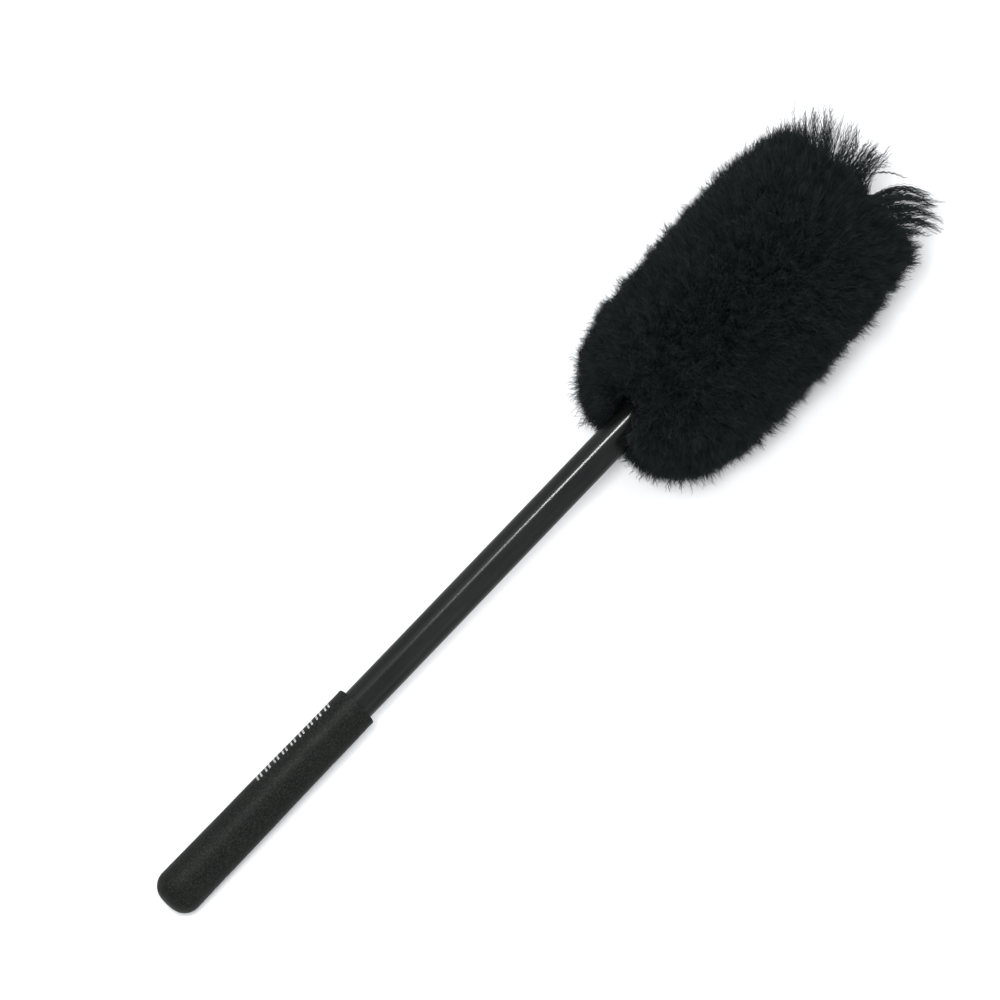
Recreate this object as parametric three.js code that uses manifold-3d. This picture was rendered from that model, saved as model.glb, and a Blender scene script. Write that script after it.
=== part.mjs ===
// Wheel brush: a lambswool sleeve on a straight tube handle with a slip-on grip.
// The brush lies on a table, as it is put down after use: the round butt of the
// grip and the flattened underside of the wool carry it, so its axis rises a few
// degrees towards the head. Every piece is drawn along the brush's own axis, with
// x = 0 at the butt and x growing towards the tip. All lengths are in millimetres.

import * as THREE from "three";
import { mergeVertices } from "three/addons/utils/BufferGeometryUtils.js";
import Module from "manifold-3d";

const wasm = await Module();
wasm.setup();

// ---- Driving dimensions ----------------------------------------------------

const FIT_GAP = 0.3; // between pieces that touch on the real brush

// Handle tube
const TUBE_RADIUS = 7.5;
const TUBE_BORE_RADIUS = 5.5;
const TUBE_START = 6;
const TUBE_END = 415;
const SLIP_RADIUS = TUBE_RADIUS + FIT_GAP; // the bore of whatever slides on the tube

// Slip-on grip, closed at the butt
const GRIP_LENGTH = 119;
const GRIP_BUTT_RADIUS = 10.75;
const GRIP_MOUTH_RADIUS = 9.9;
const GRIP_BUTT_ROUNDING = 8;
const GRIP_LIP_CHAMFER = 0.6;
const GRIP_FLOOR = 3.5;

// Push-in plugs in both ends of the tube
const PLUG_FLANGE_RADIUS = 7.2;
const PLUG_FLANGE_THICKNESS = 1.9;
const PLUG_BARB_RADIUS = TUBE_BORE_RADIUS - FIT_GAP;
const PLUG_BARB_ROOT_RADIUS = 4.6;
const PLUG_BARB_PITCH = 4;
const PLUG_BARB_COUNT = 3;
const PLUG_NECK_LENGTH = 2.4;
const PLUG_BORE_RADIUS = 3;

// Core that fills the wool sleeve: two collars pinned to the tube, foam between
const CORE_RADIUS = 15.7;
const BASE_COLLAR_START = 299.5;
const BASE_COLLAR_LIP_RADIUS = 11;
const BASE_COLLAR_LIP_THICKNESS = 1.5;
const BASE_COLLAR_NECK_RADIUS = 9.9;
const BASE_COLLAR_NECK_END = 312;
const BASE_COLLAR_END = 318;
const TIP_COLLAR_START = 404;
const TIP_COLLAR_RIM_THICKNESS = 1.5;
const TIP_COLLAR_SHOULDER = 3.5;
const TIP_COLLAR_NECK_RADIUS = 10.4;
const TIP_COLLAR_END = 414.5;
const PIN_RADIUS = 1.25;
const PIN_HOLE_RADIUS = PIN_RADIUS + FIT_GAP;
const BASE_PIN_AT = 306.5;
const TIP_PIN_AT = 410;
const PIN_INSET = 0.5; // how far each pin's ends lie below its collar's neck

// Hide sleeve, the sheepskin that the wool grows from
const HIDE_THICKNESS = 1.8;
const HIDE_BORE_RADIUS = CORE_RADIUS + FIT_GAP;
const HIDE_RADIUS = HIDE_BORE_RADIUS + HIDE_THICKNESS;
const HIDE_DOME_HEIGHT = 15;
const HEM_START = 301.6;
const HEM_BORE_RADIUS = BASE_COLLAR_NECK_RADIUS + FIT_GAP;
const HEM_RADIUS = HEM_BORE_RADIUS + HIDE_THICKNESS;

// Threads and the cord that ties the hem
const SEAM_THREAD_RADIUS = 0.45;
const SEAM_STITCH_PITCH = 6;
const SEAM_HALF_WIDTH = 2;
const SEAM_MARGIN = 3; // from either end of the sleeve's straight part
const TIP_STITCH_COUNT = 8;
const TIP_STITCH_RADIUS = 5;
const TIP_STITCH_SWING = 0.8;
const BINDING_CORD_RADIUS = 1;
const BINDING_PITCH = 2.3;
const BINDING_TURNS = 3.5;
const BINDING_START = 302.8;
const BOUND_HEM_RADIUS = HEM_RADIUS + 2 * (FIT_GAP + BINDING_CORD_RADIUS);

// Wool pile, about 30 mm long all over the hide
const PILE_BASE = 300; // where the handle runs out of the wool
const PILE_TIP = 456;
const PILE_FLATTENING = 0.93; // height over width, as the wool settles
const PILE_CLEARANCE_DOME_HEIGHT = 18.6;
const VALLEY_WIDTH = 17; // the parting in the wool over the handle
const VALLEY_LEAN = THREE.MathUtils.degToRad(15);
const NOTCH_BOTTOM = [437, -6.5]; // the gap between the tip's two tufts, as [x, y]
const NOTCH_UPPER_EDGE = [
  [448.5, -4.4],
  [470, -4.6],
];
const NOTCH_LOWER_EDGE = [
  [470, -44],
  [457, -29],
  [453, -20.5],
  [448, -14],
  [442, -9.3],
];
const NOTCH_LEAN_X = -0.157; // how far the gap leans for each millimetre up
const NOTCH_LEAN_Y = -0.22;

// How the brush lies
const HEAD_MIDDLE = 368;
const HEAD_AXIS_HEIGHT = 38;
const RESTING_TILT = Math.asin(
  (HEAD_AXIS_HEIGHT - GRIP_BUTT_RADIUS) / (HEAD_MIDDLE - GRIP_BUTT_RADIUS),
);

// ---- Materials -------------------------------------------------------------

const finish = (color, roughness, metalness = 0) =>
  new THREE.MeshStandardMaterial({ color, roughness, metalness });

const gripVinyl = finish(0x2e312f, 0.72);
const glossyTube = finish(0x1c1e1e, 0.22);
const blackNylon = finish(0x202222, 0.5);
const springSteel = finish(0x9a9c9e, 0.35, 1);
const coreFoam = finish(0x3a3a3c, 0.95);
const dyedHide = finish(0x2a2724, 0.85);
const waxedThread = finish(0x1b1b1c, 0.7);
const blackWool = finish(0x111616, 0.95);

// ---- Geometry helpers ------------------------------------------------------

// A solid turned about the brush's axis. The profile lists [x, radius] pairs, out
// from the axis at the butt side and back at the tip side.
function turned(profile, segments) {
  const points = profile.map(([along, radius]) => new THREE.Vector2(radius, along));
  return new THREE.LatheGeometry(points, segments).rotateZ(-Math.PI / 2);
}

// The same for a ring, whose profile closes on itself.
function turnedRing(profile, segments) {
  return turned([...profile, profile[0]], segments);
}

// Points of an elliptical arc about [x, 0], from its widest radius to the axis.
function domeArc(x, radius, height, steps) {
  return Array.from({ length: steps + 1 }, (_, i) => {
    const angle = (Math.PI / 2) * (i / steps);
    return [x + height * Math.sin(angle), i === steps ? 0 : radius * Math.cos(angle)];
  });
}

// A round cord along a curve, closed at both ends.
function cordAlong(curve, radius, sides, steps) {
  const corners = Array.from({ length: sides }, (_, i) => {
    const angle = (2 * Math.PI * i) / sides;
    return new THREE.Vector2(radius * Math.cos(angle), radius * Math.sin(angle));
  });
  return new THREE.ExtrudeGeometry(new THREE.Shape(corners), {
    steps,
    extrudePath: curve,
    bevelEnabled: false,
  });
}

function toSolid(geometry) {
  const bare = geometry.clone();
  bare.deleteAttribute("normal");
  bare.deleteAttribute("uv");
  const merged = mergeVertices(bare, 1e-3);
  return new wasm.Manifold(
    new wasm.Mesh({
      numProp: 3,
      vertProperties: merged.attributes.position.array,
      triVerts: new Uint32Array(merged.index.array),
    }),
  );
}

function cut(geometry, ...cutters) {
  const solid = cutters.reduce((left, cutter) => left.subtract(toSolid(cutter)), toSolid(geometry));
  const mesh = solid.getMesh();
  const result = new THREE.BufferGeometry();
  result.setAttribute("position", new THREE.BufferAttribute(mesh.vertProperties, 3));
  result.setIndex(new THREE.BufferAttribute(mesh.triVerts, 1));
  return result;
}

// A cylinder along Y, across the brush's axis.
function crossCylinder(radius, length) {
  return new THREE.CylinderGeometry(radius, radius, length, 16);
}

// The cutter for a pin hole through both walls of a tubular piece.
function crossHole(x) {
  return crossCylinder(PIN_HOLE_RADIUS, 4 * CORE_RADIUS).translate(x, 0, 0);
}

function piece(name, geometry, material) {
  const mesh = new THREE.Mesh(geometry, material);
  mesh.name = name;
  return mesh;
}

// ---- Handle ----------------------------------------------------------------

function makeGripSleeve() {
  const flat = GRIP_BUTT_RADIUS - GRIP_BUTT_ROUNDING;
  const rounding = Array.from({ length: 8 }, (_, i) => {
    const angle = (Math.PI / 2) * (i / 7);
    return [
      GRIP_BUTT_ROUNDING * (1 - Math.cos(angle)),
      flat + GRIP_BUTT_ROUNDING * Math.sin(angle),
    ];
  });
  const profile = [
    [0, 0],
    ...rounding,
    [GRIP_LENGTH - GRIP_LIP_CHAMFER, GRIP_MOUTH_RADIUS],
    [GRIP_LENGTH, GRIP_MOUTH_RADIUS - GRIP_LIP_CHAMFER],
    [GRIP_LENGTH, SLIP_RADIUS],
    [GRIP_FLOOR, SLIP_RADIUS],
    [GRIP_FLOOR, 0],
  ];
  return piece("grip_sleeve", turned(profile, 36), gripVinyl);
}

function makeHandleTube() {
  const tube = turnedRing(
    [
      [TUBE_START, TUBE_BORE_RADIUS],
      [TUBE_START, TUBE_RADIUS],
      [TUBE_END, TUBE_RADIUS],
      [TUBE_END, TUBE_BORE_RADIUS],
    ],
    36,
  );
  const holes = [BASE_PIN_AT, TIP_PIN_AT].map(crossHole);
  return piece("handle_tube", cut(tube, ...holes), glossyTube);
}

// A plug drawn from its outer face at x = 0 towards its barbed, hollow end. The
// barbs' square edges face the flange, so they hold against being pulled out.
function plugGeometry() {
  const barbsStart = PLUG_FLANGE_THICKNESS + PLUG_NECK_LENGTH;
  const end = barbsStart + PLUG_BARB_COUNT * PLUG_BARB_PITCH;
  const barbs = Array.from({ length: PLUG_BARB_COUNT }, (_, i) => [
    [barbsStart + i * PLUG_BARB_PITCH, PLUG_BARB_ROOT_RADIUS],
    [barbsStart + i * PLUG_BARB_PITCH, PLUG_BARB_RADIUS],
  ]).flat();
  return turned(
    [
      [0, 0],
      [0, PLUG_FLANGE_RADIUS],
      [PLUG_FLANGE_THICKNESS, PLUG_FLANGE_RADIUS],
      [PLUG_FLANGE_THICKNESS, PLUG_BARB_ROOT_RADIUS],
      ...barbs,
      [end, PLUG_BARB_ROOT_RADIUS],
      [end, PLUG_BORE_RADIUS],
      [barbsStart, PLUG_BORE_RADIUS],
      [barbsStart, 0],
    ],
    24,
  );
}

function makeButtPlug() {
  const plug = piece("butt_plug", plugGeometry(), blackNylon);
  plug.position.x = TUBE_START - FIT_GAP - PLUG_FLANGE_THICKNESS;
  return plug;
}

// The tip plug faces the other way, and the tip pin runs through it.
function makeTipPlug() {
  const outerFace = TUBE_END + FIT_GAP + PLUG_FLANGE_THICKNESS;
  const pinHole = crossHole(outerFace - TIP_PIN_AT);
  const plug = piece("tip_plug", cut(plugGeometry(), pinHole), blackNylon);
  plug.position.x = outerFace;
  plug.rotation.z = Math.PI;
  return plug;
}

// ---- Core ------------------------------------------------------------------

function makeBaseCollar() {
  const lipEnd = BASE_COLLAR_START + BASE_COLLAR_LIP_THICKNESS;
  const collar = turnedRing(
    [
      [BASE_COLLAR_START, SLIP_RADIUS],
      [BASE_COLLAR_START, BASE_COLLAR_LIP_RADIUS],
      [lipEnd, BASE_COLLAR_LIP_RADIUS],
      [lipEnd, BASE_COLLAR_NECK_RADIUS],
      [BASE_COLLAR_NECK_END, BASE_COLLAR_NECK_RADIUS],
      [BASE_COLLAR_END, CORE_RADIUS],
      [BASE_COLLAR_END, SLIP_RADIUS],
    ],
    32,
  );
  return piece("base_collar", cut(collar, crossHole(BASE_PIN_AT)), blackNylon);
}

function makeTipCollar() {
  const collar = turnedRing(
    [
      [TIP_COLLAR_START, SLIP_RADIUS],
      [TIP_COLLAR_START, CORE_RADIUS],
      [TIP_COLLAR_START + TIP_COLLAR_RIM_THICKNESS, CORE_RADIUS],
      [TIP_COLLAR_START + TIP_COLLAR_SHOULDER, TIP_COLLAR_NECK_RADIUS],
      [TIP_COLLAR_END, TIP_COLLAR_NECK_RADIUS],
      [TIP_COLLAR_END, SLIP_RADIUS],
    ],
    32,
  );
  return piece("tip_collar", cut(collar, crossHole(TIP_PIN_AT)), blackNylon);
}

function makeFoamCore() {
  const start = BASE_COLLAR_END + FIT_GAP;
  const end = TIP_COLLAR_START - FIT_GAP;
  const foam = turnedRing(
    [
      [start, SLIP_RADIUS],
      [start, CORE_RADIUS],
      [end, CORE_RADIUS],
      [end, SLIP_RADIUS],
    ],
    32,
  );
  return piece("foam_core", foam, coreFoam);
}

function makePin(name, x, neckRadius) {
  const pin = piece(name, crossCylinder(PIN_RADIUS, 2 * (neckRadius - PIN_INSET)), springSteel);
  pin.position.x = x;
  return pin;
}

// ---- Hide sleeve and its sewing --------------------------------------------

// A sock of hide: open at the gathered hem, swelling over the base collar's cone,
// straight over the foam, and closed in a dome over the tip collar and plug.
function makeHideSleeve() {
  const innerDome = domeArc(TIP_COLLAR_START, HIDE_BORE_RADIUS, HIDE_DOME_HEIGHT, 7);
  const outerDome = domeArc(TIP_COLLAR_START, HIDE_RADIUS, HIDE_DOME_HEIGHT + HIDE_THICKNESS, 7);
  const profile = [
    ...innerDome.reverse(),
    [BASE_COLLAR_END, HIDE_BORE_RADIUS],
    [BASE_COLLAR_NECK_END, HEM_BORE_RADIUS],
    [HEM_START, HEM_BORE_RADIUS],
    [HEM_START, HEM_RADIUS],
    [BASE_COLLAR_NECK_END - FIT_GAP, HEM_RADIUS],
    [BASE_COLLAR_END - FIT_GAP, HIDE_RADIUS],
    ...outerDome,
  ];
  return piece("hide_sleeve", turned(profile, 32), dyedHide);
}

// One whip-stitched thread zigzags over the lengthwise seam, under the brush.
function makeSideSeamThread() {
  const ride = HIDE_RADIUS + FIT_GAP + SEAM_THREAD_RADIUS;
  const start = BASE_COLLAR_END + SEAM_MARGIN;
  const length = TIP_COLLAR_START - SEAM_MARGIN - start;
  const turns = 2 * Math.floor(length / SEAM_STITCH_PITCH);
  const points = Array.from({ length: turns + 1 }, (_, i) => {
    const angle = ((i % 2 ? 1 : -1) * SEAM_HALF_WIDTH) / ride;
    return new THREE.Vector3(
      start + (length * i) / turns,
      ride * Math.sin(angle),
      -ride * Math.cos(angle),
    );
  });
  const path = new THREE.CatmullRomCurve3(points);
  return piece("side_seam_thread", cordAlong(path, SEAM_THREAD_RADIUS, 5, 3 * turns), waxedThread);
}

// A running stitch round the top of the dome draws the hide shut.
class TipStitch extends THREE.Curve {
  getPoint(t, target = new THREE.Vector3()) {
    const angle = 1.94 * Math.PI * t;
    const radius = TIP_STITCH_RADIUS + TIP_STITCH_SWING * Math.sin(TIP_STITCH_COUNT * angle);
    const domeHeight = HIDE_DOME_HEIGHT + HIDE_THICKNESS;
    const dome = TIP_COLLAR_START + domeHeight * Math.sqrt(1 - (radius / HIDE_RADIUS) ** 2);
    return target.set(
      dome + 1.2 * FIT_GAP + SEAM_THREAD_RADIUS,
      radius * Math.cos(angle),
      radius * Math.sin(angle),
    );
  }
}

function makeTipSeamThread() {
  const thread = cordAlong(new TipStitch(), SEAM_THREAD_RADIUS, 5, 7 * TIP_STITCH_COUNT);
  return piece("tip_seam_thread", thread, waxedThread);
}

// The cord whipped round the gathered hem, which ties the sleeve to the collar.
class Whipping extends THREE.Curve {
  getPoint(t, target = new THREE.Vector3()) {
    const turns = BINDING_TURNS * t;
    const angle = 2 * Math.PI * turns;
    const radius = HEM_RADIUS + FIT_GAP + BINDING_CORD_RADIUS;
    return target.set(
      BINDING_START + BINDING_PITCH * turns,
      radius * Math.cos(angle),
      radius * Math.sin(angle),
    );
  }
}

function makeHemBindingCord() {
  const cord = cordAlong(new Whipping(), BINDING_CORD_RADIUS, 6, Math.round(20 * BINDING_TURNS));
  return piece("hem_binding_cord", cord, waxedThread);
}

// ---- Wool ------------------------------------------------------------------

// The outside of the wool, from the hollow round the handle, over the rim that
// fans back round it, along the barrel and over the blunt tip.
function pileOutline() {
  const outline = new THREE.SplineCurve(
    [
      [PILE_BASE, BOUND_HEM_RADIUS],
      [286, 17],
      [279.5, 21],
      [287, 32.5],
      [300, 41.2],
      [325, 45.8],
      [HEAD_MIDDLE, 47.6],
      [405, 46.4],
      [430, 42],
      [444, 36.5],
      [453, 28],
      [PILE_TIP, 16],
      [PILE_TIP - 1, 4],
    ].map(([x, radius]) => new THREE.Vector2(x, radius)),
  );
  return [
    [PILE_BASE, 0],
    ...outline.getPoints(28).map((point) => [point.x, point.y]),
    [PILE_TIP - 1, 0],
  ];
}

// What lies inside the wool: the bound hem, the hide, and the stitches on both.
function pileCavity() {
  const hide = HIDE_RADIUS + FIT_GAP;
  return turned(
    [
      [PILE_BASE - 1, 0],
      [PILE_BASE - 1, BOUND_HEM_RADIUS],
      [BASE_COLLAR_NECK_END, BOUND_HEM_RADIUS],
      [BASE_COLLAR_END - 2 * FIT_GAP, hide],
      ...domeArc(TIP_COLLAR_START, hide, PILE_CLEARANCE_DOME_HEIGHT, 6),
    ],
    32,
  );
}

function seamKeyway() {
  const width = 2 * (SEAM_HALF_WIDTH + 2 * SEAM_THREAD_RADIUS + FIT_GAP);
  const depth = HIDE_RADIUS + 2 * (FIT_GAP + SEAM_THREAD_RADIUS);
  const length = TIP_COLLAR_START - BASE_COLLAR_END;
  return new THREE.BoxGeometry(length, width, depth).translate(
    (TIP_COLLAR_START + BASE_COLLAR_END) / 2,
    0,
    -depth / 2,
  );
}

// Over the handle the wool stands up instead of fanning back, so the handle
// stays in sight almost to the hem.
function handleValley() {
  const size = 2 * HEAD_AXIS_HEIGHT;
  return new THREE.BoxGeometry(size, VALLEY_WIDTH, size)
    .translate(-size / 2, 0, size / 2)
    .rotateY(-VALLEY_LEAN)
    .translate(PILE_BASE + FIT_GAP, 0, 0);
}

// The gap between the two tufts at the tip. It is open from top to bottom, and
// leans with the wool, so that its upper end lies nearer the butt and to one side.
function tipNotch() {
  const corners = [NOTCH_BOTTOM, ...NOTCH_UPPER_EDGE, ...NOTCH_LOWER_EDGE];
  const shape = new THREE.Shape(corners.map(([x, y]) => new THREE.Vector2(x, y)));
  const height = 4 * HEAD_AXIS_HEIGHT;
  const lean = new THREE.Matrix4();
  lean.elements[8] = NOTCH_LEAN_X;
  lean.elements[9] = NOTCH_LEAN_Y;
  return new THREE.ExtrudeGeometry(shape, { depth: height, bevelEnabled: false })
    .translate(0, 0, -height / 2)
    .applyMatrix4(lean);
}

// The wool is a little lower than wide, and flat where it lies on the table.
function makeWoolPile(table) {
  const fleece = turned(pileOutline(), 40).scale(1, 1, PILE_FLATTENING);
  const cutters = [pileCavity(), seamKeyway(), handleValley(), tipNotch(), table];
  return piece("wool_pile", cut(fleece, ...cutters), blackWool);
}

// ---- Assembly --------------------------------------------------------------

const gripSleeve = makeGripSleeve();
const brush = new THREE.Group();
brush.name = "brush_axis";
brush.add(gripSleeve);
brush.rotation.y = -RESTING_TILT;
brush.position.z = -new THREE.Box3().setFromObject(brush, true).min.z;
brush.updateMatrixWorld(true);

const TABLE_SIZE = 1200;
const table = new THREE.BoxGeometry(TABLE_SIZE, TABLE_SIZE, TABLE_SIZE)
  .translate(0, 0, -TABLE_SIZE / 2)
  .applyMatrix4(brush.matrixWorld.clone().invert());

brush.add(
  makeHandleTube(),
  makeButtPlug(),
  makeTipPlug(),
  makeBaseCollar(),
  makeFoamCore(),
  makeTipCollar(),
  makePin("base_pin", BASE_PIN_AT, BASE_COLLAR_NECK_RADIUS),
  makePin("tip_pin", TIP_PIN_AT, TIP_COLLAR_NECK_RADIUS),
  makeHideSleeve(),
  makeSideSeamThread(),
  makeTipSeamThread(),
  makeHemBindingCord(),
  makeWoolPile(table),
);

// The origin is on the table, under the middle of the whole brush.
const extent = new THREE.Box3().setFromObject(brush, true);
brush.position.x = -(extent.min.x + extent.max.x) / 2;

const wheelBrush = new THREE.Group();
wheelBrush.name = "wheel_brush";
wheelBrush.add(brush);

export default wheelBrush;
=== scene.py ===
"""Looks of the wheel brush: vinyl grip, glossy tube, and a head of black wool locks.

Shapes are worked out in the brush's own frame, in millimetres: x runs along its axis
from the butt to the tip, z is up from the axis and y is across it. BrushFrame then lays
them into the row's frame, in metres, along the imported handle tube.
"""

import math

import bmesh
import bpy
import numpy as np
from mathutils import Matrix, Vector


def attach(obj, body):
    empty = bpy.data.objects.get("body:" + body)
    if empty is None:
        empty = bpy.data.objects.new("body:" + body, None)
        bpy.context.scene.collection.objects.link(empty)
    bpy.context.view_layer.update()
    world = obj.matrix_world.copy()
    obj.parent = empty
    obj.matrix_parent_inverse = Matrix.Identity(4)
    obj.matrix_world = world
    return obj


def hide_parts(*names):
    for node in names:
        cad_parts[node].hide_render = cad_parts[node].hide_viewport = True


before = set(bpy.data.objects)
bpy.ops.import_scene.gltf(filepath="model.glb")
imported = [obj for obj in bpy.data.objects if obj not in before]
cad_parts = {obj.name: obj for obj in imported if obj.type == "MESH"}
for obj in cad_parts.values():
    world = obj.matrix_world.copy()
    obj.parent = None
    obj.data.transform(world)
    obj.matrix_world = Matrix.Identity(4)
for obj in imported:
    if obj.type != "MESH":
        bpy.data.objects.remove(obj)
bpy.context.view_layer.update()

SEED = 20261116
rng = np.random.default_rng(SEED)

MM = 0.001

# Sizes that the CAD model gives these pieces, in millimetres
TUBE_START, TUBE_END = 6.0, 415.0
TUBE_RADIUS, TUBE_BORE = 7.5, 5.5
PIN_PLACES, PIN_HOLE_RADIUS = (306.5, 410.0), 1.55
GRIP_LENGTH, GRIP_FLOOR, GRIP_BORE = 119.0, 3.5, 7.8
GRIP_BUTT_RADIUS, GRIP_MOUTH_RADIUS, GRIP_ROUNDING = 10.75, 9.9, 8.0
PILE_FLATTENING = 0.93


# ---- The brush's own frame ---------------------------------------------------


class BrushFrame:
    """Where the brush's axis lies in the row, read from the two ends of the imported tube."""

    def __init__(self, tube):
        points = np.array([v.co for v in tube.data.vertices], float)
        reach = 2 * MM
        start = points[points[:, 0] < points[:, 0].min() + reach].mean(0)
        end = points[points[:, 0] > points[:, 0].max() - reach].mean(0)
        self.along = (end - start) / np.linalg.norm(end - start)
        self.across = np.array([0.0, 1.0, 0.0])
        self.up = np.cross(self.along, self.across)
        self.butt = start - TUBE_START * MM * self.along
        self.axes = np.stack([self.along, self.across, self.up])

    def lay(self, points):
        """Brush-frame points in millimetres as row-frame points in metres."""
        return np.asarray(points, float) * MM @ self.axes + self.butt

    def take(self, points):
        """Row-frame points in metres as brush-frame points in millimetres."""
        return (np.asarray(points, float) - self.butt) @ self.axes.T / MM


brush = BrushFrame(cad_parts["handle_tube"])


# ---- Camera and light ----------------------------------------------------------

VIEW_AZIMUTH, VIEW_ELEVATION = -46.6, 72.0
VIEW_DISTANCE = 5.0
LENS_MM = 415.3
VIEW_CENTRE = (226.3, 15.15, 11.1)

# The places on the axis that the lights are aimed at, in the brush's frame
COLLAR = (305.0, 0.0, 0.0)
MIDDLE = (229.0, 0.0, 0.0)

# Each light: direction from its aim, distance and sizes in metres, power in watts, aim
LIGHTS = {
    "key_strip": ((0.08, 0.315, 0.945), 1.1, (0.13, 0.13), 5.6, COLLAR),
    "soft_top": ((0.25, 1.0, 1.5), 2.4, (2.4, 1.0), 5.0, MIDDLE),
    "fill": ((-0.4, -1.4, 0.4), 2.4, (1.8, 1.0), 3.5, MIDDLE),
    "front": ((-0.2245, -0.10, 0.97), 2.6, (0.6, 0.6), 38.5, MIDDLE),
}
SKY_COLOUR = (0.95, 0.97, 1.0, 1.0)


def unit_to(azimuth, elevation):
    """The direction from the object towards a viewer at that azimuth and elevation."""
    a, e = math.radians(azimuth), math.radians(elevation)
    return Vector((math.sin(a) * math.cos(e), -math.cos(a) * math.cos(e), math.sin(e)))


def make_camera():
    data = bpy.data.cameras.new("camera")
    data.lens = LENS_MM
    camera = bpy.data.objects.new("camera", data)
    bpy.context.scene.collection.objects.link(camera)
    back = unit_to(VIEW_AZIMUTH, VIEW_ELEVATION)
    camera.location = Vector(brush.lay(VIEW_CENTRE)) + back * VIEW_DISTANCE
    camera.rotation_mode = "QUATERNION"
    camera.rotation_quaternion = (-back).to_track_quat("-Z", "Y")
    bpy.context.scene.camera = camera


def add_area_light(name, towards, distance, size, power, aim):
    """A rectangular soft box, its long side along X, aimed at a point of the brush."""
    data = bpy.data.lights.new(name, "AREA")
    data.shape = "RECTANGLE"
    data.size, data.size_y = size
    data.energy = power
    lamp = bpy.data.objects.new(name, data)
    bpy.context.scene.collection.objects.link(lamp)
    towards = Vector(towards).normalized()
    lamp.location = Vector(brush.lay(aim)) + towards * distance
    lamp.rotation_mode = "QUATERNION"
    lamp.rotation_quaternion = (-towards).to_track_quat("-Z", "Y")
    return lamp


def make_lights():
    """The key only draws the tube's thin highlight; the front light leaves no reflection."""
    lamps = {name: add_area_light(name, *settings) for name, settings in LIGHTS.items()}
    lamps["key_strip"].visible_diffuse = False
    lamps["front"].visible_glossy = False
    world = bpy.data.worlds.new("studio")
    world.use_nodes = True
    background = world.node_tree.nodes["Background"]
    background.inputs["Color"].default_value = SKY_COLOUR
    background.inputs["Strength"].default_value = 1.0
    bpy.context.scene.world = world
    bpy.context.scene.view_settings.view_transform = "Standard"


# ---- Materials -----------------------------------------------------------------


def srgb(red, green, blue):
    """An 8-bit screen colour as linear RGBA."""
    parts = [c / 255 for c in (red, green, blue)]
    return (*[p / 12.92 if p <= 0.04045 else ((p + 0.055) / 1.055) ** 2.4 for p in parts], 1.0)


class Maker:
    """A new node material with its Principled shader at hand."""

    def __init__(self, name, **sockets):
        self.material = bpy.data.materials.new(name)
        self.material.use_nodes = True
        self.nodes = self.material.node_tree.nodes
        self.links = self.material.node_tree.links
        self.shader = self.nodes["Principled BSDF"]
        for socket, value in sockets.items():
            self.shader.inputs[socket.replace("_", " ")].default_value = value

    def node(self, kind, inputs=None, **settings):
        made = self.nodes.new("ShaderNode" + kind)
        for key, value in settings.items():
            setattr(made, key, value)
        for key, value in (inputs or {}).items():
            if isinstance(value, bpy.types.NodeSocket):
                self.links.new(value, made.inputs[key])
            else:
                made.inputs[key].default_value = value
        return made

    def place(self, stretch=(1.0, 1.0, 1.0)):
        """Object coordinates, scaled along each axis."""
        coords = self.node("TexCoord").outputs["Object"]
        return self.node("Mapping", {"Vector": coords, "Scale": stretch}).outputs["Vector"]

    def noise(self, scale, detail=4.0, roughness=0.55, stretch=(1.0, 1.0, 1.0)):
        inputs = {
            "Vector": self.place(stretch),
            "Scale": scale,
            "Detail": detail,
            "Roughness": roughness,
        }
        return self.node("TexNoise", inputs).outputs["Fac"]

    def ramp(self, factor, *stops):
        """A colour ramp: each stop is (place, colour)."""
        made = self.node("ValToRGB", {"Fac": factor})
        elements = made.color_ramp.elements
        while len(elements) < len(stops):
            elements.new(0.5)
        for element, (place, colour) in zip(elements, stops):
            element.position = place
            element.color = colour
        return made.outputs["Color"]

    def spread(self, factor, low, high, start=0.3, end=0.7):
        """A value that goes from low to high as factor goes from start to end."""
        inputs = {"Value": factor, "From Min": start, "From Max": end, "To Min": low, "To Max": high}
        return self.node("MapRange", inputs).outputs["Result"]

    def mix(self, factor, first, second):
        made = self.node("Mix", data_type="RGBA")
        self.links.new(factor, made.inputs["Factor"])
        for index, value in ((6, first), (7, second)):
            if isinstance(value, bpy.types.NodeSocket):
                self.links.new(value, made.inputs[index])
            else:
                made.inputs[index].default_value = value
        return made.outputs[2]

    def bump(self, height, strength, distance):
        inputs = {"Height": height, "Strength": strength, "Distance": distance}
        return self.node("Bump", inputs).outputs["Normal"]

    def drive(self, socket, value):
        self.links.new(value, self.shader.inputs[socket])


def vinyl_material():
    """Matt dip-moulded vinyl: fine orange-peel skin, faint handling shine and dust."""
    m = Maker("grip_vinyl", Specular_IOR_Level=0.15)
    patches = m.noise(55.0, 5.0)
    specks = m.noise(1500.0, 3.0)
    mottling = m.ramp(patches, (0.3, srgb(3, 4, 4)), (0.7, srgb(10, 12, 10)))
    m.drive("Base Color", m.mix(m.spread(specks, 0.0, 1.0, 0.44, 0.66), mottling, srgb(33, 37, 32)))
    m.drive("Roughness", m.spread(m.noise(90.0, 6.0), 0.42, 0.56))
    m.drive("Normal", m.bump(m.noise(2600.0, 3.0), 0.22, 0.0001))
    return m.material


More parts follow.
